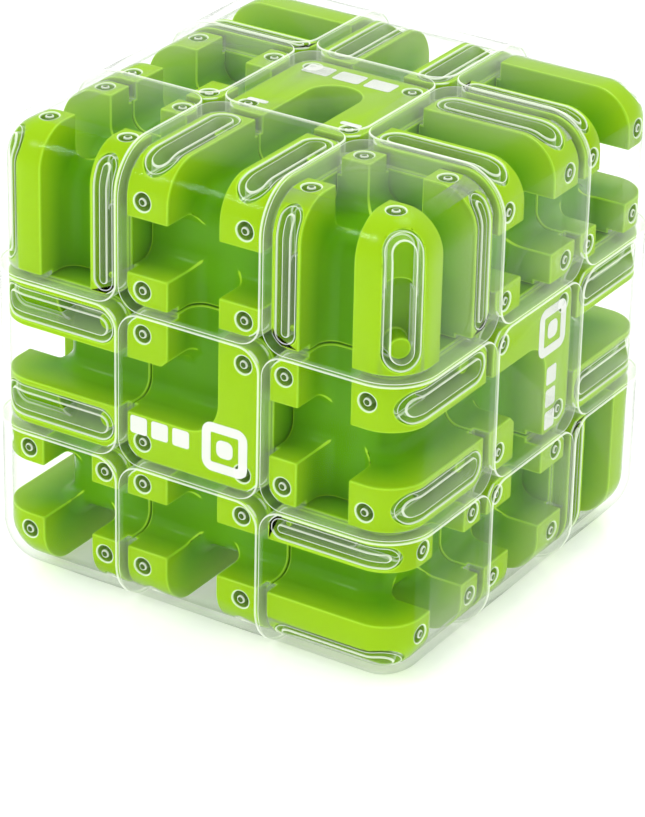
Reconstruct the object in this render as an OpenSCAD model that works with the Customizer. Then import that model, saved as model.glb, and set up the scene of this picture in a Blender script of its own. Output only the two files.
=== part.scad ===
// Twisting ball maze cube: 26 lime green maze blocks under clear covers, held on a sprung six-arm core.
// The cube stands on its bottom face, +Z is up and the origin is the centre of the core.

/* [Cube] */
// Edge length of the whole cube
cube_size = 68; // [67:0.5:70]
// Gap between two neighbouring cubies
turn_gap = 0.3; // [0.3:0.05:0.4]
// Radius of the cube's outer edges and corners
edge_radius = 7; // [6.5:0.25:7]
// Radius of a cubie's corners where four cubies meet
seam_corner_radius = 3.4; // [3:0.1:3.6]

/* [Covers] */
// Wall thickness of the clear covers
cover_thickness = 1.2; // [1.1:0.05:1.3]
// Thickness of the cover's rim along the seams
rim_thickness = 0.6; // [0.5:0.05:0.7]
// How far the rim reaches down below the cover's inside
rim_depth = 2.5; // [2:0.1:2.6]

/* [Maze] */
// Width of the lanes that the ball rolls in
lane_width = 8; // [7.6:0.1:8.2]
// Depth of the lane floor below the outer face
lane_depth = 7.9; // [7.6:0.1:8]
// Radius between a lane's floor and walls
lane_fillet = 2.2; // [1.8:0.1:2.4]
// Radius of the lane floor where it goes over an edge of the cube
lane_bend = 4; // [3:0.25:5]
// Distance of the outer lanes from the middle of a face
outer_lane = 20.5; // [20:0.1:20.8]
// Diameter of the steel ball
ball_diameter = 6; // [5.6:0.1:6]

/* [Pegs and ribs] */
// Diameter of the cover's hollow pegs
peg_diameter = 2.5; // [2.2:0.1:2.6]
// Bore of the cover's hollow pegs
peg_bore = 1.2; // [1:0.1:1.3]
// Wall thickness of the cover's ribs
rib_wall = 0.7; // [0.6:0.05:0.8]

/* [Mechanism] */
// Outer radius of the feet under the cubies
foot_radius = 21.8; // [21.6:0.1:21.8]
// Inner radius of the feet
foot_inner_radius = 15; // [15:0.1:15.4]
// Distance of the planes that part the feet from the middle of the cube
foot_plane = 6; // [5.9:0.1:6.1]
// Radius of the ball in the middle of the core
core_radius = 7.5; // [7:0.25:8]
// Radius of the core's six arms
arm_radius = 3.9; // [3.6:0.1:4]
// Diameter of the screws that hold the centres
screw_diameter = 3; // [2.8:0.1:3]
// Turns of wire in each spring
spring_turns = 4; // [3:1:5]

/* [Hidden] */
$fn = 48;
TOP = [0, 0, 1];
BOTTOM = [0, 0, -1];
RIGHT = [1, 0, 0];
LEFT = [-1, 0, 0];
BACK = [0, 1, 0];
FRONT = [0, -1, 0];

half = cube_size / 2;
seam = half / 3;
play = turn_gap / 2;
far = 2 * cube_size;
fit = 0.05;
rim_bottom = cover_thickness + rim_depth;

// lanes
lane_floor = half - lane_depth;
bend_centre = lane_floor - lane_bend;
half_lane = lane_width / 2;
block_start = seam + play + rim_thickness + fit;
block_end = outer_lane - half_lane;
post_start = outer_lane + half_lane;
pocket_end = 0.5;
turn_shift = 1;

// pegs stand in the middle of the blocks beside the lanes
inner_peg = (block_start + block_end) / 2;
side_peg = 8;
outer_peg = half - edge_radius;
peg_bottom = half - 5;
peg_clearance = 0.05;

// ribs hang in pockets, deep beside the lane and shallow on the rounded edge
rib_low = block_start + 0.8;
rib_deep_top = 24.1;
rib_top = half - 2.7;
rib_slack = 0.3;
deep_floor = lane_floor - 0.7;
shallow_floor = half - 4.8;
side_rib = (half_lane + seam - play - rim_thickness) / 2;
side_rib_width = 4.2;
corner_rib_width = 2.7;
post_rib_width = 4.8;
post_deep_floor = 39.4;
post_shallow_floor = 40.7;

// sprung hub of a centre
cavity_radius = foot_radius + 0.4;
stalk_radius = foot_plane - 0.6;
stalk_bottom = foot_inner_radius + 0.2;
arm_end = foot_inner_radius - 0.4;
cup_floor = stalk_bottom + 1.6;
cup_radius = stalk_radius - 1.8;
base_top = half - 10.05;
insert_bottom = base_top + 0.1;
head_bottom = 21;
head_height = 2;
head_radius = 2.9;
wire = 0.6;
spring_radius = 2.55;
screw_fit = 0.02;

// each corner: name, face with the crossing lanes, its other two faces
CORNERS = [
    ["top_front_right", TOP, RIGHT, FRONT],
    ["top_front_left", TOP, FRONT, LEFT],
    ["top_back_right", RIGHT, TOP, BACK],
    ["top_back_left", LEFT, BACK, TOP],
    ["bottom_front_right", RIGHT, BOTTOM, FRONT],
    ["bottom_front_left", FRONT, BOTTOM, LEFT],
    ["bottom_back_right", BOTTOM, RIGHT, BACK],
    ["bottom_back_left", BACK, LEFT, BOTTOM],
];
// each edge: name, face with the crossing lanes, face with the straight lane
EDGES = [
    ["top_front", FRONT, TOP],
    ["top_right", RIGHT, TOP],
    ["top_left", TOP, LEFT],
    ["top_back", BACK, TOP],
    ["front_right", FRONT, RIGHT],
    ["front_left", LEFT, FRONT],
    ["back_right", BACK, RIGHT],
    ["back_left", BACK, LEFT],
    ["bottom_front", FRONT, BOTTOM],
    ["bottom_right", RIGHT, BOTTOM],
    ["bottom_left", LEFT, BOTTOM],
    ["bottom_back", BACK, BOTTOM],
];
// each centre: name, its face, the side that its lane is measured from, shape of the lane
CENTRES = [
    ["top_centre", TOP, BACK, "pocket"],
    ["bottom_centre", BOTTOM, FRONT, "pocket"],
    ["front_centre", FRONT, TOP, "turn"],
    ["right_centre", RIGHT, FRONT, "turn"],
    ["back_centre", BACK, TOP, "turn"],
    ["left_centre", LEFT, TOP, "turn"],
];
FACES = [for (c = CENTRES) c[1]];

function names(prefix, cubies) = [for (c = cubies) str(prefix, c[0])];

// --- placing -----------------------------------------------------------------------------------

// Turns a cubie drawn with its lanes on +Z and its second face on +Y to where it belongs.
module place(hub, side) {
    x = cross(side, hub);
    multmatrix([
        [x[0], side[0], hub[0], 0],
        [x[1], side[1], hub[1], 0],
        [x[2], side[2], hub[2], 0],
        [0, 0, 0, 1]
    ]) children();
}

// Extrudes a flat shape along X, its own x to Y and its own y to Z.
module along_x(start, end) {
    translate([start, 0, 0]) rotate([90, 0, 90]) linear_extrude(end - start) children();
}

// Extrudes a flat shape along Y, its own x to X and its own y to Z.
module along_y(start, end) {
    translate([0, end, 0]) rotate([90, 0, 0]) linear_extrude(end - start) children();
}

// --- outer shape of the cubies -----------------------------------------------------------------

// Rectangle with a radius at each corner: low-low, high-low, high-high, low-high.
module round_rectangle(low, high, radii) {
    difference() {
        translate(low) square(high - low);
        for (i = [0:3]) {
            r = radii[i];
            corner = [i == 1 || i == 2 ? high[0] : low[0], i > 1 ? high[1] : low[1]];
            inward = [i == 1 || i == 2 ? -1 : 1, i > 1 ? -1 : 1];
            if (r > 0) {
                difference() {
                    translate(corner - [r, r]) square(2 * r);
                    translate(corner + r * inward) circle(r);
                }
            }
        }
    }
}

// Where a cubie of an outer row, or of the middle row, starts and ends along one axis.
function outer_range(inset, side) = [seam + play + side, half - inset];
function middle_range(side) = [-(seam - play - side), seam - play - side];

module corner_body(inset, side) {
    range = outer_range(inset, side);
    low = [range[0], range[0]];
    high = [range[1], range[1]];
    round = edge_radius - inset;
    centre = half - edge_radius;
    radii = [seam_corner_radius - side, 0, round, 0];
    difference() {
        intersection() {
            translate([0, 0, range[0]]) linear_extrude(high[0] - low[0]) round_rectangle(low, high, radii);
            along_x(0, far) round_rectangle(low, high, radii);
            along_y(0, far) round_rectangle(low, high, radii);
        }
        difference() {
            translate([centre, centre, centre]) cube(round + 1);
            translate([centre, centre, centre]) sphere(round);
        }
    }
}

module edge_body(inset, side) {
    outer = outer_range(inset, side);
    middle = middle_range(side);
    inner = seam_corner_radius - side;
    low = [middle[0], outer[0]];
    high = [middle[1], outer[1]];
    intersection() {
        translate([0, 0, outer[0]]) linear_extrude(outer[1] - outer[0])
            round_rectangle(low, high, [inner, inner, 0, 0]);
        along_x(-far, far)
            round_rectangle([outer[0], outer[0]], [outer[1], outer[1]], [inner, 0, edge_radius - inset, 0]);
        along_y(0, far) round_rectangle(low, high, [inner, inner, 0, 0]);
    }
}

module centre_body(inset, side) {
    outer = outer_range(inset, side);
    middle = middle_range(side);
    inner = seam_corner_radius - side;
    translate([0, 0, outer[0]]) linear_extrude(outer[1] - outer[0])
        round_rectangle([middle[0], middle[0]], [middle[1], middle[1]], [inner, inner, inner, inner]);
}

module body(kind, inset, side) {
    if (kind == "corner") corner_body(inset, side);
    if (kind == "edge") edge_body(inset, side);
    if (kind == "centre") centre_body(inset, side);
}

// --- lanes -------------------------------------------------------------------------------------

// Section of a lane from its floor out past the cube, rounded at the floor.
module lane_section(floor_at) {
    translate([0, floor_at]) round_rectangle(
        [-half_lane, 0], [half_lane, far / 4], [lane_fillet, lane_fillet, 0, 0]);
}

// Lane across the +Z face, along Y.
module lane_along_y(start, end) {
    along_y(start, end) lane_section(lane_floor);
}

// Lane across the +Z face, along X.
module lane_along_x(start, end) {
    along_x(start, end) lane_section(lane_floor);
}

// Lane that crosses the +Z face along Y, goes over the edge and down the +Y face.
module wrap_lane() {
    lane_along_y(seam - 1, bend_centre);
    translate([0, bend_centre, bend_centre]) rotate([90, 0, 90]) rotate_extrude(angle = 90)
        rotate([0, 0, -90]) lane_section(lane_bend);
    mirror([0, 1, -1]) lane_along_y(seam - 1, bend_centre);
}

// Round end of a lane, sunk into the +Z face.
module lane_round(radius) {
    translate([0, 0, lane_floor]) rotate_extrude() intersection() {
        round_rectangle([-radius, 0], [radius, far / 4], [lane_fillet, lane_fillet, 0, 0]);
        square(far);
    }
}

module corner_lanes() {
    translate([outer_lane, 0, 0]) wrap_lane();
    mirror([1, -1, 0]) translate([outer_lane, 0, 0]) wrap_lane();
}

module edge_lanes() {
    wrap_lane();
    translate([0, outer_lane, 0]) lane_along_x(-seam, seam);
}

module centre_lanes(shape) {
    if (shape == "turn") {
        lane_along_x(-seam, -turn_shift);
        lane_along_y(turn_shift, seam);
        translate([-turn_shift, turn_shift, 0]) lane_round(half_lane + turn_shift);
    } else {
        lane_along_y(-seam, pocket_end);
        translate([0, pocket_end, 0]) lane_round(half_lane);
    }
}

module lanes(kind, shape) {
    if (kind == "corner") corner_lanes();
    if (kind == "edge") edge_lanes();
    if (kind == "centre") centre_lanes(shape);
}

// --- pegs --------------------------------------------------------------------------------------

function peg_places(kind) =
    kind == "corner"
    ? [[inner_peg, inner_peg], [inner_peg, outer_peg], [outer_peg, inner_peg], [outer_peg, outer_peg]]
    : kind == "edge"
    ? [[-side_peg, inner_peg], [side_peg, inner_peg], [-side_peg, outer_peg], [side_peg, outer_peg]]
    : [[-side_peg, -side_peg], [side_peg, -side_peg], [-side_peg, side_peg], [side_peg, side_peg]];

module peg_holes(kind) {
    for (p = peg_places(kind))
        translate([p[0], p[1], peg_bottom - 0.4]) cylinder(h = far / 4, d = peg_diameter + 2 * peg_clearance);
}

module pegs(kind) {
    for (p = peg_places(kind))
        translate([p[0], p[1], peg_bottom]) cylinder(h = half - peg_bottom - 0.5, d = peg_diameter);
}

module peg_bores(kind) {
    for (p = peg_places(kind))
        translate([p[0], p[1], peg_bottom - 1])
            cylinder(h = half - cover_thickness - peg_bottom + 1, d = peg_bore);
}

// --- ribs, drawn on the +Y face ----------------------------------------------------------------

// Slot with round ends, standing upright.
module slot(width, low, high) {
    r = width / 2;
    translate([-r, low + r]) square([width, high - low - width]);
    translate([0, low + r]) circle(r);
    translate([0, high - r]) circle(r);
}

module rib_pocket(width, deep, shallow) {
    w = width + 2 * rib_slack;
    along_y(deep, far) slot(w, rib_low - rib_slack, rib_deep_top + rib_slack);
    along_y(shallow, far) slot(w, rib_low - rib_slack, rib_top + rib_slack);
}

module rib(width, deep, shallow) {
    difference() {
        union() {
            along_y(deep + rib_slack, far) slot(width, rib_low, rib_deep_top);
            along_y(shallow + rib_slack, far) slot(width, rib_low, rib_top);
        }
        along_y(0, 2 * far) slot(width - 2 * rib_wall, rib_low + rib_wall, rib_top - rib_wall);
    }
}

// Short stud of the block that the lower end of the rib fits over.
module rib_stud(width, deep, out) {
    r = width / 2 - rib_wall - 0.2;
    along_y(deep - 0.5, out) translate([0, rib_low + width / 2]) circle(r);
}

// Calls its child for each rib of a cubie, turned to the rib's place.
module at_side_ribs(kind) {
    if (kind == "corner") {
        translate([inner_peg, 0, 0]) children();
        mirror([1, -1, 0]) translate([inner_peg, 0, 0]) children();
    }
    if (kind == "edge") {
        for (s = [-1, 1]) translate([s * side_rib, 0, 0]) children();
    }
}

module at_post_rib(kind) {
    if (kind == "corner") rotate([0, 0, -45]) children();
}

function rib_width(kind) = kind == "corner" ? corner_rib_width : side_rib_width;

module rib_pockets(kind) {
    at_side_ribs(kind) rib_pocket(rib_width(kind), deep_floor, shallow_floor);
    at_post_rib(kind) rib_pocket(post_rib_width, post_deep_floor, post_shallow_floor);
}

module ribs(kind) {
    intersection() {
        union() {
            at_side_ribs(kind) rib(rib_width(kind), deep_floor, shallow_floor);
            at_post_rib(kind) rib(post_rib_width, post_deep_floor, post_shallow_floor);
        }
        body(kind, 0.3, 0.3);
    }
}

module rib_studs(kind) {
    at_side_ribs(kind) rib_stud(rib_width(kind), deep_floor, half - 3);
    at_post_rib(kind) rib_stud(post_rib_width, post_deep_floor, post_deep_floor + 3);
}

// --- tracks ------------------------------------------------------------------------------------

// Maze block without its foot: wide below the cover's rim, narrower inside it.
module maze_block(kind, shape) {
    difference() {
        union() {
            body(kind, rim_bottom + fit, 0);
            body(kind, cover_thickness + fit, rim_thickness + fit);
        }
        lanes(kind, shape);
        peg_holes(kind);
        rib_pockets(kind);
    }
    rib_studs(kind);
}

// Part of the hollow ball that the feet make up, between two limits on each axis.
module foot_shell(low, high) {
    intersection() {
        difference() {
            sphere(foot_radius);
            sphere(foot_inner_radius);
        }
        translate(low) cube(high - low);
    }
}

module corner_track() {
    start = foot_plane + play;
    color("yellowgreen") union() {
        maze_block("corner", "");
        foot_shell([start, start, start], [half, half, half]);
    }
}

module edge_track() {
    start = foot_plane + play;
    reach = foot_plane - play;
    color("yellowgreen") union() {
        difference() {
            maze_block("edge", "");
            for (s = [0, 1]) mirror([s, 0, 0]) intersection() {
                sphere(cavity_radius);
                translate([reach, 0, 0]) cube(half);
            }
        }
        foot_shell([-reach, start, start], [reach, half, half]);
    }
}

// A centre is two pieces: a hub that the screw holds and a maze plate that closes it.
module centre_track(shape) {
    color("yellowgreen") {
        difference() {
            union() {
                intersection() {
                    body("centre", rim_bottom + fit, 0);
                    translate([-half, -half, stalk_bottom])
                        cube([cube_size, cube_size, base_top - stalk_bottom]);
                }
                translate([0, 0, stalk_bottom]) cylinder(h = base_top - stalk_bottom, r = stalk_radius);
            }
            difference() {
                sphere(cavity_radius);
                cylinder(h = half, r = stalk_radius);
            }
            translate([0, 0, cup_floor]) cylinder(h = half, r = cup_radius);
            cylinder(h = half, d = screw_diameter + 0.6);
        }
        intersection() {
            maze_block("centre", shape);
            translate([-half, -half, insert_bottom]) cube([cube_size, cube_size, half]);
        }
    }
}

// --- covers ------------------------------------------------------------------------------------

module cover(kind, shape) {
    color("honeydew", 0.35) difference() {
        union() {
            difference() {
                body(kind, 0, 0);
                body(kind, cover_thickness, rim_thickness);
                body(kind, rim_bottom, -1);
                intersection() {
                    lanes(kind, shape);
                    body(kind, cover_thickness, -1);
                }
            }
            pegs(kind);
            if (kind != "centre") ribs(kind);
        }
        peg_bores(kind);
    }
}

// --- core, screws, springs and ball --------------------------------------------------------------

// Calls its child for each of the six faces, turned to point out of that face.
module at_faces() {
    for (f = FACES) place(f, [f[2], f[0], f[1]]) children();
}

module core() {
    color("dimgray") difference() {
        union() {
            sphere(core_radius);
            at_faces() cylinder(h = arm_end, r = arm_radius);
        }
        at_faces() translate([0, 0, core_radius - 1])
            cylinder(h = half, d = screw_diameter + 2 * screw_fit);
    }
}

module centre_screws() {
    color("silver") at_faces() difference() {
        union() {
            translate([0, 0, core_radius]) cylinder(h = head_bottom - core_radius, d = screw_diameter);
            translate([0, 0, head_bottom]) cylinder(h = head_height, r = head_radius);
        }
        for (a = [0, 90]) rotate([0, 0, a]) translate([-0.3, -1.6, head_bottom + 1]) cube([0.6, 3.2, 2]);
    }
}

// Coil spring between the bottom of the centre's cup and the screw head.
module spring(low, high, turns) {
    steps = 12 * turns;
    sides = 5;
    points = [for (i = [0:steps]) let (a = 360 * turns * i / steps)
        for (j = [0:sides - 1]) let (b = 360 * j / sides, r = spring_radius + wire / 2 * cos(b))
            [r * cos(a), r * sin(a), low + wire / 2 + (high - low - wire) * i / steps + wire / 2 * sin(b)]];
    walls = [for (i = [0:steps - 1]) for (j = [0:sides - 1]) let (k = (j + 1) % sides)
        [i * sides + j, i * sides + k, (i + 1) * sides + k, (i + 1) * sides + j]];
    ends = [[for (j = [0:sides - 1]) sides - 1 - j], [for (j = [0:sides - 1]) steps * sides + j]];
    polyhedron(points, concat(walls, ends));
}

module centre_springs() {
    color("lightgray") at_faces() spring(cup_floor + fit, head_bottom - fit, spring_turns);
}

module steel_ball() {
    color("gainsboro") translate([0, 0, -(half - cover_thickness - fit - ball_diameter / 2)])
        sphere(d = ball_diameter);
}

// --- what is drawn -------------------------------------------------------------------------------

for (c = CORNERS) {
    side = cross(c[2], c[1]) == c[3] ? c[2] : c[3];
    place(c[1], side) corner_track();
    place(c[1], side) cover("corner", "");
}
for (e = EDGES) {
    place(e[1], e[2]) edge_track();
    place(e[1], e[2]) cover("edge", "");
}
for (c = CENTRES) {
    place(c[1], c[2]) centre_track(c[3]);
    place(c[1], c[2]) cover("centre", c[3]);
}
core();
centre_screws();
centre_springs();
steel_ball();
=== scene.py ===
"""Lime green ball maze cube with clear covers, dressed for a studio view.

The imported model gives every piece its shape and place. This file copies the maze blocks and covers,
rounds their edges, gives each piece its finish, adds the printed marks and sets up the studio.
"""

import logging
import math
from dataclasses import dataclass, field
from enum import Enum
from typing import Callable, Union

import bpy
from mathutils import Matrix, Vector


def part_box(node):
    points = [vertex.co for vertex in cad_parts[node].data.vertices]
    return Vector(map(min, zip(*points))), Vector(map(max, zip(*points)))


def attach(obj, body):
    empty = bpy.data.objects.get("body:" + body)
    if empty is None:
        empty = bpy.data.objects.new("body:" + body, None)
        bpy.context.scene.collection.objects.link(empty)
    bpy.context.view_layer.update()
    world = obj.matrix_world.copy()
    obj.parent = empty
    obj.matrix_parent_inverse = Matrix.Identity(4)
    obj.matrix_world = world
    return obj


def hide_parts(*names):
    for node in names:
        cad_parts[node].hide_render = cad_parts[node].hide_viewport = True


LOG = logging.getLogger("maze_cube")
MM = 0.001
SHARP = math.radians(38)
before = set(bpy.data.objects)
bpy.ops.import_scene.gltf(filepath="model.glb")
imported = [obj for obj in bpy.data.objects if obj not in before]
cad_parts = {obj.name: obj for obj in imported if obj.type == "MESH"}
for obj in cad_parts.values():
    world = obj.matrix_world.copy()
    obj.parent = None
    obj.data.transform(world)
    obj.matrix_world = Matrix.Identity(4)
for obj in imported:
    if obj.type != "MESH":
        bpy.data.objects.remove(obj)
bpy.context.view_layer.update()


# --- names and places ----------------------------------------------------------------------------


class Face(Enum):
    """The six faces of the cube, each with the direction that it looks in."""

    TOP = (0, 0, 1)
    BOTTOM = (0, 0, -1)
    RIGHT = (1, 0, 0)
    LEFT = (-1, 0, 0)
    BACK = (0, 1, 0)
    FRONT = (0, -1, 0)

    @property
    def direction(self) -> Vector:
        """The face's outward direction."""
        return Vector(self.value)


class Kind(Enum):
    """The three kinds of cubie."""

    CORNER = "corner"
    EDGE = "edge"
    CENTRE = "centre"


@dataclass(frozen=True)
class Cubie:
    """One of the 26 cubies and how it is turned.

    hub is the face that its crossing lanes are on, and side the face that its straight lane is on.
    """

    name: str
    kind: Kind
    hub: Face
    side: Face

    @property
    def turn(self) -> Matrix:
        """The rotation from a cubie drawn with its hub up and its side at the back."""
        hub = self.hub.direction
        side = self.side.direction
        across = side.cross(hub)
        return Matrix((across, side, hub)).transposed()


def corner(name: str, hub: Face, one: Face, other: Face) -> Cubie:
    """Makes a corner cubie.

    Args:
        name: the body that it rides on.
        hub: the face that its crossing lanes are on.
        one: one of its other two faces.
        other: the last of its faces.

    Returns:
        The cubie, with the side that keeps its lanes right-handed.
    """
    across = one.direction.cross(hub.direction)
    side = one if across == other.direction else other
    return Cubie(name, Kind.CORNER, hub, side)


CUBIES: tuple[Cubie, ...] = (
    corner("top_front_right", Face.TOP, Face.RIGHT, Face.FRONT),
    corner("top_front_left", Face.TOP, Face.FRONT, Face.LEFT),
    corner("top_back_right", Face.RIGHT, Face.TOP, Face.BACK),
    corner("top_back_left", Face.LEFT, Face.BACK, Face.TOP),
    corner("bottom_front_right", Face.RIGHT, Face.BOTTOM, Face.FRONT),
    corner("bottom_front_left", Face.FRONT, Face.BOTTOM, Face.LEFT),
    corner("bottom_back_right", Face.BOTTOM, Face.RIGHT, Face.BACK),
    corner("bottom_back_left", Face.BACK, Face.LEFT, Face.BOTTOM),
    Cubie("top_front", Kind.EDGE, Face.FRONT, Face.TOP),
    Cubie("top_right", Kind.EDGE, Face.RIGHT, Face.TOP),
    Cubie("top_left", Kind.EDGE, Face.TOP, Face.LEFT),
    Cubie("top_back", Kind.EDGE, Face.BACK, Face.TOP),
    Cubie("front_right", Kind.EDGE, Face.FRONT, Face.RIGHT),
    Cubie("front_left", Kind.EDGE, Face.LEFT, Face.FRONT),
    Cubie("back_right", Kind.EDGE, Face.BACK, Face.RIGHT),
    Cubie("back_left", Kind.EDGE, Face.BACK, Face.LEFT),
    Cubie("bottom_front", Kind.EDGE, Face.FRONT, Face.BOTTOM),
    Cubie("bottom_right", Kind.EDGE, Face.RIGHT, Face.BOTTOM),
    Cubie("bottom_left", Kind.EDGE, Face.LEFT, Face.BOTTOM),
    Cubie("bottom_back", Kind.EDGE, Face.BACK, Face.BOTTOM),
    Cubie("top_centre", Kind.CENTRE, Face.TOP, Face.BACK),
    Cubie("bottom_centre", Kind.CENTRE, Face.BOTTOM, Face.FRONT),
    Cubie("front_centre", Kind.CENTRE, Face.FRONT, Face.TOP),
    Cubie("right_centre", Kind.CENTRE, Face.RIGHT, Face.FRONT),
    Cubie("back_centre", Kind.CENTRE, Face.BACK, Face.TOP),
    Cubie("left_centre", Kind.CENTRE, Face.LEFT, Face.TOP),
)


@dataclass(frozen=True)
class CubeSizes:
    """The sizes of the moulded parts that the dressing needs, in metres."""

    half: float
    edge_radius: float = 7 * MM
    cover_wall: float = 1.2 * MM
    peg_radius: float = 1.25 * MM
    lane_depth: float = 7.9 * MM
    pegs: dict[Kind, tuple[tuple[float, float], ...]] = field(default_factory=dict)

    @property
    def seam(self) -> float:
        """Distance of a seam from the middle of the cube."""
        return self.half / 3

    def near_peg(self, local: Vector, kind: "Kind", room: float) -> bool:
        """Whether a point of a cubie is on one of its pegs, or within some room of it."""
        reach = self.peg_radius + room
        return any(math.hypot(local.x - x, local.y - y) < reach for x, y in self.pegs[kind])

    def depth(self, point: Vector) -> float:
        """How far a point lies under the rounded surface of the cube."""
        core = self.half - self.edge_radius
        outside = Vector(max(abs(c) - core, 0.0) for c in point)
        if outside.length == 0:
            return self.half - max(abs(c) for c in point)
        return self.edge_radius - outside.length


def measured_sizes() -> CubeSizes:
    """Reads the cube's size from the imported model.

    Returns:
        The sizes, with the peg places of each kind of cubie in its own turned frame.
    """
    low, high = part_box("cover_top_centre")
    half = high[2]
    inner, side, outer = 14.32 * MM, 8 * MM, half - 7 * MM
    pegs = {
        Kind.CORNER: ((inner, inner), (inner, outer), (outer, inner), (outer, outer)),
        Kind.EDGE: ((-side, inner), (side, inner), (-side, outer), (side, outer)),
        Kind.CENTRE: ((-side, -side), (side, -side), (-side, side), (side, side)),
    }
    return CubeSizes(half=half, pegs=pegs)


# --- shader building -----------------------------------------------------------------------------


class Value:
    """A number that varies over a surface, on which Python's operators add Math nodes."""

    def __init__(self, finish: "Nodes", socket: bpy.types.NodeSocket) -> None:
        """Wraps a socket of a material that is being built."""
        self.finish = finish
        self.socket = socket

    def _math(self, operation: str, first: object, second: object = 0.0) -> "Value":
        """Adds one Math node and wraps its result."""
        node = self.finish.add("ShaderNodeMath", {"operation": operation}, {0: first, 1: second})
        return Value(self.finish, node.outputs[0])

    def __add__(self, other: object) -> "Value":
        """This value plus another."""
        return self._math("ADD", self, other)

    def __radd__(self, other: object) -> "Value":
        """Another value plus this one."""
        return self._math("ADD", other, self)

    def __sub__(self, other: object) -> "Value":
        """This value less another."""
        return self._math("SUBTRACT", self, other)

    def __rsub__(self, other: object) -> "Value":
        """Another value less this one."""
        return self._math("SUBTRACT", other, self)

    def __mul__(self, other: object) -> "Value":
        """This value times another."""
        return self._math("MULTIPLY", self, other)

    def __rmul__(self, other: object) -> "Value":
        """Another value times this one."""
        return self._math("MULTIPLY", other, self)

    def __truediv__(self, other: object) -> "Value":
        """This value over another."""
        return self._math("DIVIDE", self, other)

    def __pow__(self, other: object) -> "Value":
        """This value raised to a power."""
        return self._math("POWER", self, other)

    def greater(self, other: object) -> "Value":
        """The greater of this value and another."""
        return self._math("MAXIMUM", self, other)

    def smaller(self, other: object) -> "Value":
        """The smaller of this value and another."""
        return self._math("MINIMUM", self, other)

    def clamped(self) -> "Value":
        """This value kept between 0 and 1."""
        return self.greater(0.0).smaller(1.0)


Colour = tuple[float, float, float]


def rgba(colour: Colour) -> tuple[float, float, float, float]:
    """A colour with full alpha."""
    return (*colour, 1.0)


class Nodes:
    """The node tree of one material while it is being built."""

    def __init__(self, name: str) -> None:
        """Starts an empty material of that name."""
        self.material = bpy.data.materials.new(name)
        self.material.use_nodes = True
        self.tree = self.material.node_tree
        self.tree.nodes.clear()

    def add(
        self, kind: str, settings: dict[str, object], inputs: dict[Union[int, str], object]
    ) -> bpy.types.Node:
        """Adds a node.

        Args:
            kind: the node's type.
            settings: its settings, which are made first.
            inputs: values or links of its sockets, by name or number.

        Returns:
            The new node.
        """
        node = self.tree.nodes.new(kind)
        for key, value in settings.items():
            setattr(node, key, value)
        for key, value in inputs.items():
            self._feed(node.inputs[key], value)
        return node

    def _feed(self, socket: bpy.types.NodeSocket, value: object) -> None:
        """Links a socket or sets its value."""
        if isinstance(value, Value):
            self.tree.links.new(value.socket, socket)
        elif isinstance(value, bpy.types.NodeSocket):
            self.tree.links.new(value, socket)
        else:
            socket.default_value = value

    def value(self, node: bpy.types.Node, output: Union[int, str] = 0) -> Value:
        """Wraps a node's output as a value."""
        return Value(self, node.outputs[output])

    def place(self) -> bpy.types.NodeSocket:
        """The point's own place on the piece, in metres."""
        return self.add("ShaderNodeTexCoord", {}, {}).outputs["Object"]

    def noise(self, scale: float, detail: float = 2.0) -> Value:
        """A soft random pattern with about scale waves to a metre."""
        node = self.add(
            "ShaderNodeTexNoise", {}, {"Vector": self.place(), "Scale": scale, "Detail": detail}
        )
        return self.value(node, "Fac")

    def depth_below(self, sizes: CubeSizes) -> Value:
        """How far each point lies under the cube's rounded surface, in metres."""
        core = sizes.half - sizes.edge_radius
        size = self.add("ShaderNodeVectorMath", {"operation": "ABSOLUTE"}, {0: self.place()})
        over = self.add(
            "ShaderNodeVectorMath", {"operation": "SUBTRACT"}, {0: size.outputs[0], 1: (core,) * 3}
        )
        kept = self.add("ShaderNodeVectorMath", {"operation": "MAXIMUM"}, {0: over.outputs[0]})
        length = self.add("ShaderNodeVectorMath", {"operation": "LENGTH"}, {0: kept.outputs[0]})
        parts = self.add("ShaderNodeSeparateXYZ", {}, {0: over.outputs[0]})
        x, y, z = (Value(self, parts.outputs[i]) for i in range(3))
        flat = x.greater(y).greater(z).smaller(0.0)
        return sizes.edge_radius - self.value(length, "Value") - flat

    def blend(self, share: object, low: object, high: object) -> bpy.types.NodeSocket:
        """Mixes two colours by a share."""
        node = self.add(
            "ShaderNodeMix",
            {"data_type": "RGBA"},
            {"Factor": share, 6: self._colour(low), 7: self._colour(high)},
        )
        return node.outputs[2]

    def _colour(self, colour: object) -> object:
        """A colour as a socket takes it."""
        return rgba(colour) if isinstance(colour, tuple) else colour

    def principled(self, **inputs: object) -> bpy.types.Node:
        """Adds a Principled shader, with its sockets' names in lower case."""
        named = {key.replace("_", " ").title(): value for key, value in inputs.items()}
        swap = {"Ior": "IOR", "Specular Ior Level": "Specular IOR Level"}
        fixed = {swap.get(key, key): self._colour(value) for key, value in named.items()}
        return self.add("ShaderNodeBsdfPrincipled", {}, fixed)

    def bump(self, height: Value, distance: float, strength: float) -> bpy.types.NodeSocket:
        """Adds a Bump node for a height pattern."""
        node = self.add(
            "ShaderNodeBump", {}, {"Height": height, "Distance": distance, "Strength": strength}
        )
        return node.outputs["Normal"]

    def finished(self, shader: bpy.types.Node) -> bpy.types.Material:
        """Connects the shader to the output and returns the material."""
        self.add("ShaderNodeOutputMaterial", {}, {"Surface": shader.outputs[0]})
        return self.material


# --- finishes ------------------------------------------------------------------------------------


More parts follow.
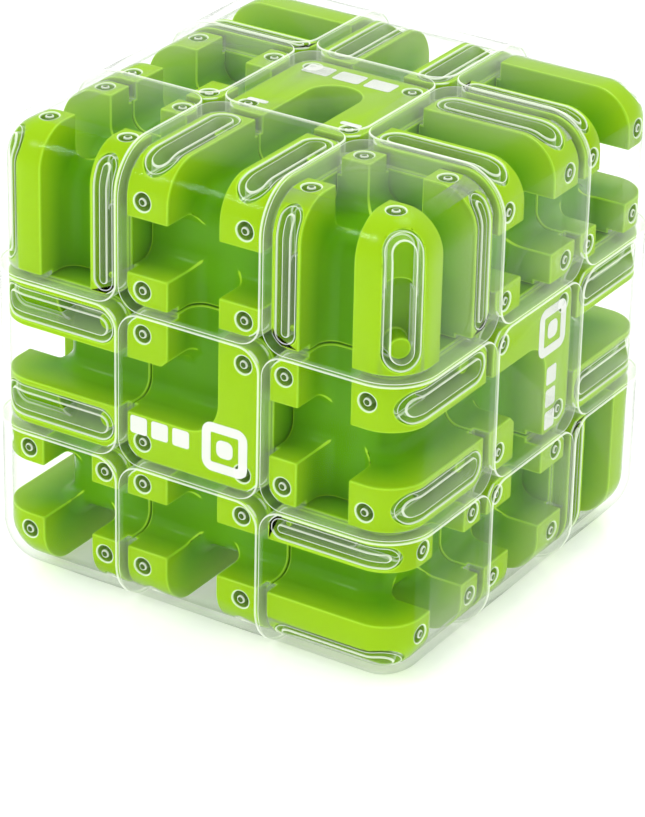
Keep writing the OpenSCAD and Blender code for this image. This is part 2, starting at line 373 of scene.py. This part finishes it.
@dataclass(frozen=True)
class LimeBlock:
    """Glossy lime plastic with painted shade: darker down in the lanes, and dark green in the pits
    deep between the blocks.
    """

    # The face colour is the plastic's own colour on the block tops; the lane and pit colours are
    # painted shade for down in the lanes and the deep pits.
    face: Colour = (0.35, 0.61, 0.003)
    lane: Colour = (0.125, 0.38, 0.001)
    pit_shade: Colour = (0.001, 0.10, 0.002)
    face_ends: float = 1.5 * MM
    pit_starts: float = 8.5 * MM
    pit_fade: float = 4 * MM

    def material(self, sizes: CubeSizes) -> bpy.types.Material:
        """Builds the finish."""
        nodes = Nodes("lime_block_painted_shade")
        # Painted shade: the colour darkens with depth under the cube's surface, into the lanes and
        # then into the deep pits.
        depth = nodes.depth_below(sizes)
        lane_shading = ((depth - self.face_ends) / (sizes.lane_depth - self.face_ends)).clamped()
        pit_shading = ((depth - self.pit_starts) / self.pit_fade).clamped()
        cloud = nodes.noise(90.0)
        share = (lane_shading ** 0.8 + (cloud - 0.5) * 0.12).clamped()
        colour = nodes.blend(share, self.face, self.lane)
        colour = nodes.blend(pit_shading, colour, self.pit_shade)
        flow = nodes.noise(60.0, 1.0)
        shader = nodes.principled(
            base_color=colour,
            roughness=0.16 + nodes.noise(250.0) * 0.08,
            normal=nodes.bump(flow, 0.4 * MM, 0.25),
            specular_ior_level=0.10,
        )
        return nodes.finished(shader)


@dataclass(frozen=True)
class LimeRimHighlight:
    """A painted highlight: the bright line along a block's rounded edges, a lighter yellow-green than
    the block.
    """

    colour: Colour = (0.50, 0.85, 0.03)

    def material(self) -> bpy.types.Material:
        """Builds the finish."""
        nodes = Nodes("lime_rim_highlight")
        grain = nodes.noise(400.0)
        shader = nodes.principled(
            base_color=nodes.blend(grain, self.colour, tuple(c * 0.85 for c in self.colour)),
            roughness=0.2,
            specular_ior_level=0.2,
        )
        return nodes.finished(shader)


@dataclass(frozen=True)
class ClearPlastic:
    """Clear plastic: see-through face on, and more mirror-like or whiter at a slant, with a painted
    glow from emission where glow is set.
    """

    name: str
    colour: Colour = (1.0, 1.0, 1.0)
    least: float = 0.004
    most: float = 0.6
    power: float = 4.5
    roughness: float = 0.03
    metallic: float = 1.0
    # Strength of the painted glow, given off by emission.
    glow: float = 0.0

    def material(self) -> bpy.types.Material:
        """Builds the finish."""
        nodes = Nodes(self.name)
        slant = nodes.value(nodes.add("ShaderNodeLayerWeight", {}, {"Blend": 0.5}), "Facing")
        waves = nodes.noise(30.0, 1.0)
        solid = nodes.principled(
            base_color=self.colour,
            roughness=self.roughness,
            metallic=self.metallic,
            # Emission is painted glow: light given off by clear plastic that is no lamp.
            emission_color=self.colour,
            emission_strength=self.glow,
            normal=nodes.bump(waves, 0.2 * MM, 0.06),
        )
        clear = nodes.add("ShaderNodeBsdfTransparent", {}, {"Color": rgba((0.99, 1.0, 0.985))})
        share = (self.least + slant ** self.power * (self.most - self.least)).clamped()
        mixed = nodes.add(
            "ShaderNodeMixShader", {}, {0: share, 1: clear.outputs[0], 2: solid.outputs[0]}
        )
        return nodes.finished(mixed)


@dataclass(frozen=True)
class Plain:
    """A plain moulded, plated or printed finish with a little grain."""

    name: str
    colour: Colour
    roughness: float
    metallic: float = 0.0
    grain: float = 300.0
    glow: float = 0.0

    def material(self) -> bpy.types.Material:
        """Builds the finish."""
        nodes = Nodes(self.name)
        grain = nodes.noise(self.grain)
        darker = tuple(c * 0.9 for c in self.colour)
        shader = nodes.principled(
            base_color=nodes.blend(grain, self.colour, darker),
            roughness=self.roughness + grain * 0.06,
            metallic=self.metallic,
            emission_color=self.colour,
            emission_strength=self.glow,
        )
        return nodes.finished(shader)


# --- mesh work -----------------------------------------------------------------------------------


def select_only(piece: bpy.types.Object) -> None:
    """Makes one piece the only selected and active one."""
    for other in bpy.context.selected_objects:
        other.select_set(False)
    bpy.context.view_layer.objects.active = piece
    piece.select_set(True)


def apply_modifier(piece: bpy.types.Object, kind: str, settings: dict[str, object]) -> None:
    """Adds a modifier with its settings and applies it."""
    select_only(piece)
    modifier = piece.modifiers.new(kind.lower(), kind)
    for key, value in settings.items():
        setattr(modifier, key, value)
    bpy.ops.object.modifier_apply(modifier=modifier.name)


def copy_of_node(node: str, name: str) -> bpy.types.Object:
    """Copies a moulded part as one closed mesh with flat faces whole.

    Args:
        node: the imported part.
        name: the copy's name.

    Returns:
        The copy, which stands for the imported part.
    """
    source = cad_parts[node]
    piece = bpy.data.objects.new(name, source.data.copy())
    bpy.context.scene.collection.objects.link(piece)
    piece.data.materials.clear()
    select_only(piece)
    bpy.ops.object.mode_set(mode="EDIT")
    bpy.ops.mesh.select_all(action="SELECT")
    bpy.ops.mesh.remove_doubles(threshold=0.001 * MM)
    bpy.ops.mesh.dissolve_limited(angle_limit=math.radians(0.6))
    bpy.ops.object.mode_set(mode="OBJECT")
    return piece


def mark_sharp_edges(piece: bpy.types.Object, wanted: Callable[[Vector], bool]) -> None:
    """Marks the sharp edges of a piece that are to be rounded.

    Args:
        piece: the piece.
        wanted: tells for the middle of an edge whether it is to be rounded.
    """
    mesh = piece.data
    beside: dict[tuple[int, int], list[Vector]] = {}
    for face in mesh.polygons:
        for key in face.edge_keys:
            beside.setdefault(key, []).append(face.normal)
    weights = mesh.attributes.new("bevel_weight_edge", "FLOAT", "EDGE")
    for edge in mesh.edges:
        normals = beside.get(edge.key, [])
        if len(normals) != 2 or normals[0].angle(normals[1]) < SHARP:
            continue
        ends = [mesh.vertices[i].co for i in edge.vertices]
        if wanted((ends[0] + ends[1]) / 2):
            weights.data[edge.index].value = 1.0


def round_edges(piece: bpy.types.Object, width: float, segments: int, slot: int) -> None:
    """Rounds a piece's marked edges and gives the rounded strips their own material slot."""
    apply_modifier(
        piece,
        "BEVEL",
        {
            "width": width,
            "segments": segments,
            "limit_method": "WEIGHT",
            "material": slot,
            "use_clamp_overlap": False,
            "loop_slide": False,
        },
    )
    select_only(piece)
    bpy.ops.object.shade_smooth_by_angle(angle=math.radians(30))


def hand_over(piece: bpy.types.Object, body: str, node: str = "") -> None:
    """Lets a piece ride on its body and, if it is a copy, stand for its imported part."""
    if node:
        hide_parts(node)
    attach(piece, body)
    LOG.info("%s rides on %s", piece.name, body)


# --- sub-assemblies ------------------------------------------------------------------------------


@dataclass
class MazeBlocks:
    """The lime blocks, one to a cubie."""

    sizes: CubeSizes
    edge_round: float = 0.22 * MM
    below_lane: float = 1.2 * MM

    def build(self) -> None:
        """Copies, rounds and dresses each block."""
        block = LimeBlock().material(self.sizes)
        rim_highlight = LimeRimHighlight().material()
        deepest = self.sizes.lane_depth + self.below_lane
        for cubie in CUBIES:
            piece = copy_of_node(f"track_{cubie.name}", f"maze_block_{cubie.name}")
            piece.data.materials.append(block)
            piece.data.materials.append(rim_highlight)
            mark_sharp_edges(piece, lambda at: self.sizes.depth(at) < deepest)
            # The rounded strips take slot 1, the painted rim highlight.
            round_edges(piece, self.edge_round, 2, 1)
            hand_over(piece, cubie.name, f"track_{cubie.name}")


class CoverPart(Enum):
    """The parts of a clear cover that look different, by material slot."""

    SHELL = 0
    # The rounded strips, painted as bright highlights.
    EDGE = 1
    WALL = 2
    PEG = 3


@dataclass
class ClearCovers:
    """The clear covers, one to a cubie, with their rims, pegs and ribs."""

    sizes: CubeSizes
    edge_round: float = 0.2 * MM

    def build(self) -> None:
        """Copies, rounds and dresses each cover."""
        shell = ClearPlastic("clear_shell", (0.36, 0.42, 0.33), least=0.008, most=0.95, power=4.6)
        # Painted light: the rounded edges are nearly opaque pale green-white as painted highlights,
        # and the walls and pegs have a painted glow by emission, the pegs also painted a lighter
        # green-grey.
        edge = ClearPlastic("clear_edge_highlight", (0.9, 0.95, 0.84), 0.55, 0.9, 1.5, 0.15, 0.0, 0.2)
        wall = ClearPlastic("clear_wall_glow", (0.8, 0.9, 0.7), 0.02, 0.75, 2.6, 0.05, 0.3, 0.2)
        peg = ClearPlastic("clear_peg_glow", (0.34, 0.50, 0.18), 0.12, 0.9, 1.0, 0.08, 0.5, 0.12)
        finishes = [finish.material() for finish in (shell, edge, wall, peg)]
        for cubie in CUBIES:
            piece = copy_of_node(f"cover_{cubie.name}", f"clear_cover_{cubie.name}")
            for finish in finishes:
                piece.data.materials.append(finish)
            self.sort_faces(piece, cubie)
            mark_sharp_edges(piece, self.shows_an_edge)
            round_edges(piece, self.edge_round, 2, CoverPart.EDGE.value)
            hand_over(piece, cubie.name, f"cover_{cubie.name}")

    def sort_faces(self, piece: bpy.types.Object, cubie: Cubie) -> None:
        """Gives each face of a cover the slot of the part that it belongs to."""
        back = cubie.turn.transposed()
        for face in piece.data.polygons:
            face.material_index = self.part_at(face.center, back @ face.center, cubie).value

    def shows_an_edge(self, at: Vector) -> bool:
        """Whether a cover's edge at a point is rounded and painted as a bright highlight: on its
        outside, or on a rib or peg.
        """
        inside_rim = any(abs(abs(c) - self.sizes.seam) < 1.1 * MM for c in at)
        return self.sizes.depth(at) < 0.4 * MM or not inside_rim

    def part_at(self, centre: Vector, local: Vector, cubie: Cubie) -> CoverPart:
        """Finds the part of the cover that a point is on.

        Args:
            centre: the point in the cube's frame.
            local: the point in the cubie's own turned frame.
            cubie: the cubie.

        Returns:
            The part of the cover there.
        """
        depth = self.sizes.depth(centre)
        if depth < self.sizes.cover_wall + 0.05 * MM:
            return CoverPart.SHELL
        if self.sizes.near_peg(local, cubie.kind, 0.1 * MM):
            return CoverPart.PEG
        return CoverPart.WALL


class CentreHardware:
    """The core with its screws and springs, and the steel ball."""

    def build(self) -> None:
        """Dresses the pieces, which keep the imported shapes."""
        # The core is a dark green that also stands for the shade deep inside the cube: painted shade.
        self.dress("core", Plain("core_plastic", (0.05, 0.11, 0.015), 0.45))
        self.dress("centre_screws", Plain("zinc_plate", (0.62, 0.62, 0.6), 0.28, 1.0))
        self.dress("centre_springs", Plain("spring_wire", (0.5, 0.5, 0.52), 0.22, 1.0))
        self.dress("steel_ball", Plain("ball_steel", (0.8, 0.8, 0.82), 0.04, 1.0, 900.0))

    def dress(self, node: str, finish: Plain) -> None:
        """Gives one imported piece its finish."""
        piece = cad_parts[node]
        piece.data.materials.clear()
        piece.data.materials.append(finish.material())
        select_only(piece)
        modifier = piece.modifiers.new("bevel", "BEVEL")
        modifier.width = 0.1 * MM
        modifier.limit_method = "ANGLE"
        LOG.info("%s dressed", node)


@dataclass
class PrintedMarks:
    """Plain white marks printed on the inside of the covers of the centres."""

    sizes: CubeSizes
    thickness: float = 0.03 * MM

    def build(self) -> None:
        """Prints the marks of the four centres with a turn, and those of the top centre."""
        ink = Plain("white_print", (0.92, 0.92, 0.9), 0.35).material()
        tile = self.plate("tile", (5.2, -5.3), (7.2, 7.2), 1.6, 1.4)
        dot = self.plate("dot", (5.2, -5.3), (2.6, 2.6), 0.9, 0.0)
        bars = [self.plate("bar", (x, -5.6), (2.7, 2.6), 0.4, 0.0) for x in (-8.6, -5.2, -1.8)]
        one = self.joined([tile, dot, *bars], "print_front_centre", ink)
        centres = {cubie.name: cubie for cubie in CUBIES if cubie.kind is Kind.CENTRE}
        for name in ("right_centre", "back_centre", "left_centre"):
            piece = bpy.data.objects.new(f"print_{name}", one.data.copy())
            bpy.context.scene.collection.objects.link(piece)
            self.place(piece, centres[name])
        self.place(one, centres["front_centre"])
        line = [self.plate("bar", (x, 7.4), (4.2, 3.0), 0.4, 0.0) for x in (-6.6, -1.6, 3.4)]
        ticks = [self.plate("tick", (x, -6.6), (3.2, 1.0), 0.4, 0.0) for x in (-7.4, 7.4)]
        self.place(self.joined([*line, *ticks], "print_top_centre", ink), centres["top_centre"])

    def plate(
        self,
        name: str,
        at: tuple[float, float],
        size: tuple[float, float],
        radius: float,
        band: float,
    ) -> bpy.types.Object:
        """Models one thin flat mark with round corners under the top of the cube.

        Args:
            name: the mark's name.
            at: its middle, in millimetres.
            size: its width and height, in millimetres.
            radius: the radius of its corners, in millimetres.
            band: the width of its border if its middle is open, in millimetres, or 0.

        Returns:
            The mark.
        """
        bpy.ops.mesh.primitive_plane_add(size=1.0)
        mark = bpy.context.active_object
        mark.name = name
        height = self.sizes.half - self.sizes.cover_wall - self.thickness
        bpy.ops.object.mode_set(mode="EDIT")
        bpy.ops.mesh.select_all(action="SELECT")
        bpy.ops.transform.resize(value=(size[0] * MM, size[1] * MM, 1.0), center_override=(0, 0, 0))
        bpy.ops.transform.translate(value=(at[0] * MM, at[1] * MM, height))
        bpy.ops.mesh.bevel(offset=radius * MM, segments=6, affect="VERTICES")
        if band:
            bpy.ops.mesh.inset(thickness=band * MM)
            bpy.ops.mesh.delete(type="FACE")
            bpy.ops.mesh.select_all(action="SELECT")
        rise = (0, 0, self.thickness * 0.9)
        bpy.ops.mesh.extrude_region_move(TRANSFORM_OT_translate={"value": rise})
        bpy.ops.mesh.select_all(action="SELECT")
        bpy.ops.mesh.normals_make_consistent(inside=False)
        bpy.ops.object.mode_set(mode="OBJECT")
        return mark

    def joined(
        self, marks: list[bpy.types.Object], name: str, ink: bpy.types.Material
    ) -> bpy.types.Object:
        """Joins flat marks into one printed piece."""
        select_only(marks[0])
        for mark in marks[1:]:
            mark.select_set(True)
        bpy.ops.object.join()
        marks[0].name = name
        marks[0].data.materials.append(ink)
        return marks[0]

    def place(self, piece: bpy.types.Object, cubie: Cubie) -> None:
        """Turns a printed piece to its centre and lets it ride there."""
        piece.data.transform(cubie.turn.to_4x4())
        hand_over(piece, cubie.name)


# --- camera and studio ---------------------------------------------------------------------------


@dataclass(frozen=True)
class CameraPlace:
    """Where the camera stands, in degrees and in half cube lengths."""

    azimuth: float = 32.05
    elevation: float = 26.62
    roll: float = 1.27
    distance: float = 15.787
    right: float = -0.005
    up: float = -0.371
    lens_mm: float = 170.9

    def build(self, half: float) -> None:
        """Adds the camera and makes it the scene's."""
        azimuth = math.radians(self.azimuth)
        elevation = math.radians(self.elevation)
        roll = math.radians(self.roll)
        flat = math.cos(elevation)
        back = Vector((math.sin(azimuth) * flat, -math.cos(azimuth) * flat, math.sin(elevation)))
        right = Vector((math.cos(azimuth), math.sin(azimuth), 0.0))
        up = back.cross(right)
        place = (back * self.distance + right * self.right + up * self.up) * half
        turned_right = right * math.cos(roll) + up * math.sin(roll)
        turned_up = up * math.cos(roll) - right * math.sin(roll)
        data = bpy.data.cameras.new("studio_camera")
        data.lens = self.lens_mm
        data.sensor_width = 36.0
        data.clip_start = 0.01
        camera = bpy.data.objects.new("studio_camera", data)
        bpy.context.scene.collection.objects.link(camera)
        axes = Matrix((turned_right, turned_up, back)).transposed().to_4x4()
        camera.matrix_world = Matrix.Translation(place) @ axes
        bpy.context.scene.camera = camera


@dataclass
class Studio:
    """A white floor, an even white surround and soft lights."""

    half: float
    floor_size: float = 6.0
    floor_gap: float = 0.05 * MM

    def build(self) -> None:
        """Builds the studio and its camera."""
        self.add_floor()
        self.add_surround(1.0)
        self.add_light("key", (-0.35, -0.5, 0.5), 0.14, 1.0)
        self.add_light("top", (0.05, 0.25, 0.6), 0.3, 1.0)
        bpy.context.scene.view_settings.view_transform = "Standard"
        CameraPlace().build(self.half)

    def add_floor(self) -> None:
        """Adds the floor that the cube stands on."""
        ground = -self.half - self.floor_gap
        bpy.ops.mesh.primitive_plane_add(size=self.floor_size, location=(0, 0, ground))
        floor = bpy.context.active_object
        floor.name = "studio_floor"
        paint = Plain("studio_white", (0.97, 0.97, 0.97), 0.08, glow=0.4)
        floor.data.materials.append(paint.material())

    def add_surround(self, strength: float) -> None:
        """Sets an even white light from all round."""
        world = bpy.data.worlds.new("studio")
        world.use_nodes = True
        background = world.node_tree.nodes["Background"]
        background.inputs["Color"].default_value = (1.0, 1.0, 1.0, 1.0)
        background.inputs["Strength"].default_value = strength
        bpy.context.scene.world = world

    def add_light(
        self, name: str, place: tuple[float, float, float], size: float, watts: float
    ) -> None:
        """Adds a square soft light that faces the cube."""
        data = bpy.data.lights.new(name, "AREA")
        data.size = size
        data.energy = watts
        light = bpy.data.objects.new(name, data)
        bpy.context.scene.collection.objects.link(light)
        light.location = place
        light.rotation_euler = Vector(place).to_track_quat("Z", "Y").to_euler()


def main() -> None:
    """Builds the cube's pieces and the studio."""
    logging.basicConfig(level=logging.INFO, format="%(message)s")
    sizes = measured_sizes()
    MazeBlocks(sizes).build()
    ClearCovers(sizes).build()
    CentreHardware().build()
    PrintedMarks(sizes).build()
    Studio(sizes.half).build()


if __name__ == "__main__":
    main()
